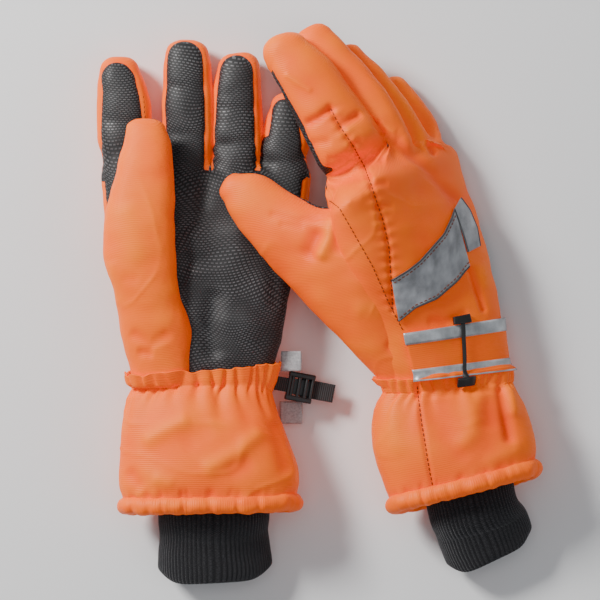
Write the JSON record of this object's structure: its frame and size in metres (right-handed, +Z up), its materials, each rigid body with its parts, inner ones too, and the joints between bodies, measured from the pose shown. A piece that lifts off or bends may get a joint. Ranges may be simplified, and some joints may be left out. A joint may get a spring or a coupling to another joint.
{
  "type": "pair of work gloves",
  "caption": "Pair of padded winter work gloves with grip palms, reflective stripes, wrist straps, gathered cuffs and knit inner cuffs, laid one over the other.",
  "frame": {"origin": "middle of the bounding box, on the surface that the gloves lie on", "axes": "+Z up from the surface, +Y along the left glove towards its fingertips, +X towards the right glove"},
  "size_m": [0.2668, 0.3386, 0.0727],
  "materials": {
    "orange_polyester": "fine woven fluorescent polyester, soft sheen",
    "grip_fabric": "textured synthetic grip with rows of small raised dashes",
    "reflective_fabric": "silver retroreflective fabric, creased",
    "reflective_tape": "silver retroreflective tape, stitched edges",
    "rib_knit": "rib knit, fuzzy",
    "fleece": "brushed fleece",
    "elastic": "woven elastic",
    "black_plastic": "moulded, glossy",
    "black_webbing": "woven webbing",
    "satin_label": "blank satin"
  },
  "bodies": {
    "left_hand": {"left_hand_back": "orange_polyester", "left_palm_grip": "grip_fabric", "left_hand_lining": "fleece", "left_wrist_elastic": "elastic", "left_cuff_shell": "orange_polyester", "left_cuff_hem": "orange_polyester", "left_knit_cuff": "rib_knit", "left_back_stripe": "reflective_fabric", "left_side_stripe": "reflective_fabric", "left_wrist_strap": "orange_polyester", "left_strap_tape_upper": "reflective_tape", "left_strap_tape_lower": "reflective_tape", "left_clip_webbing": "black_webbing"},
    "right_hand": {"right_hand_back": "orange_polyester", "right_palm_grip": "grip_fabric", "right_hand_lining": "fleece", "right_wrist_elastic": "elastic", "right_cuff_shell": "orange_polyester", "right_cuff_hem": "orange_polyester", "right_knit_cuff": "rib_knit", "right_back_stripe": "reflective_fabric", "right_side_stripe": "reflective_fabric", "right_wrist_strap": "orange_polyester", "right_strap_tape_upper": "reflective_tape", "right_strap_tape_lower": "reflective_tape"},
    "left_index_tip": {"left_index_shell": "orange_polyester", "left_index_grip": "grip_fabric"},
    "left_middle_tip": {"left_middle_shell": "orange_polyester", "left_middle_grip": "grip_fabric"},
    "left_ring_tip": {"left_ring_shell": "orange_polyester", "left_ring_grip": "grip_fabric"},
    "left_little_tip": {"left_little_shell": "orange_polyester", "left_little_grip": "grip_fabric"},
    "left_thumb_tip": {"left_thumb_shell": "orange_polyester", "left_thumb_grip": "grip_fabric"},
    "right_index_tip": {"right_index_shell": "orange_polyester", "right_index_grip": "grip_fabric"},
    "right_middle_tip": {"right_middle_shell": "orange_polyester", "right_middle_grip": "grip_fabric"},
    "right_ring_tip": {"right_ring_shell": "orange_polyester", "right_ring_grip": "grip_fabric"},
    "right_little_tip": {"right_little_shell": "orange_polyester", "right_little_grip": "grip_fabric"},
    "right_thumb_tip": {"right_thumb_shell": "orange_polyester", "right_thumb_grip": "grip_fabric"},
    "left_slider": {"left_strap_slider": "black_plastic"},
    "right_slider": {"right_strap_slider": "black_plastic"},
    "left_clip": {"left_clip_buckle": "black_plastic", "left_clip_tail": "black_webbing"},
    "left_label_upper_flap": {"left_label_upper": "satin_label"},
    "left_label_lower_flap": {"left_label_lower": "satin_label"}
  },
  "joints": [
    {"name": "right_glove_lift", "type": "slide", "parent": "left_hand", "child": "right_hand", "axis": [0, 0, 1], "range_m": [0, 0.1]},
    {"name": "left_index_fold", "type": "hinge", "parent": "left_hand", "child": "left_index_tip", "pos_m": [-0.1178, 0.116, 0.0135], "axis": [0.9969, 0.0789, 0], "range_deg": [0, 55]},
    {"name": "left_middle_fold", "type": "hinge", "parent": "left_hand", "child": "left_middle_tip", "pos_m": [-0.0789, 0.118, 0.014], "axis": [1, 0, 0], "range_deg": [0, 60]},
    {"name": "left_ring_fold", "type": "hinge", "parent": "left_hand", "child": "left_ring_tip", "pos_m": [-0.0486, 0.115, 0.014], "axis": [1, -0.0086, 0], "range_deg": [0, 60]},
    {"name": "left_little_fold", "type": "hinge", "parent": "left_hand", "child": "left_little_tip", "pos_m": [-0.0196, 0.099, 0.013], "axis": [0.9983, -0.0579, 0], "range_deg": [0, 30]},
    {"name": "left_thumb_fold", "type": "hinge", "parent": "left_hand", "child": "left_thumb_tip", "pos_m": [-0.1065, 0.034, 0.0465], "axis": [0.9988, -0.0496, 0], "range_deg": [0, 50]},
    {"name": "right_index_fold", "type": "hinge", "parent": "right_hand", "child": "right_index_tip", "pos_m": [0.0011, 0.119, 0.055], "axis": [0.7224, 0.4776, -0.5], "range_deg": [0, 50]},
    {"name": "right_middle_fold", "type": "hinge", "parent": "right_hand", "child": "right_middle_tip", "pos_m": [0.0206, 0.1318, 0.042], "axis": [0.4175, 0.2751, -0.866], "range_deg": [0, 50]},
    {"name": "right_ring_fold", "type": "hinge", "parent": "right_hand", "child": "right_ring_tip", "pos_m": [0.0352, 0.1228, 0.025], "axis": [0.3659, 0.2415, -0.8988], "range_deg": [0, 50]},
    {"name": "right_little_fold", "type": "hinge", "parent": "right_hand", "child": "right_little_tip", "pos_m": [0.0535, 0.1103, 0.0084], "axis": [0.3398, 0.2236, -0.9135], "range_deg": [0, 50]},
    {"name": "right_thumb_fold", "type": "hinge", "parent": "right_hand", "child": "right_thumb_tip", "pos_m": [-0.012, 0.034, 0.046], "axis": [0.6293, 0.7771, 0], "range_deg": [0, 50]},
    {"name": "left_slider_slide", "type": "slide", "parent": "left_hand", "child": "left_slider", "axis": [0.9996, 0.0035, 0.0266], "range_m": [-0.004, 0.004]},
    {"name": "right_slider_slide", "type": "slide", "parent": "right_hand", "child": "right_slider", "axis": [-0.9681, -0.1022, 0.2286], "range_m": [-0.004, 0.004]},
    {"name": "left_clip_swing", "type": "hinge", "parent": "left_hand", "child": "left_clip", "pos_m": [-0.01767, -0.05081, 0.01663], "axis": [-0.1908, -0.9816, 0], "range_deg": [0, 60]},
    {"name": "left_label_upper_flap", "type": "hinge", "parent": "left_hand", "child": "left_label_upper_flap", "pos_m": [-0.0225, -0.0355, 0.023], "axis": [-0.1045, -0.9945, 0], "range_deg": [0, 30]},
    {"name": "left_label_lower_flap", "type": "hinge", "parent": "left_hand", "child": "left_label_lower_flap", "pos_m": [-0.0225, -0.066, 0.008], "axis": [-0.2419, -0.9703, 0], "range_deg": [0, 30]}
  ]
}
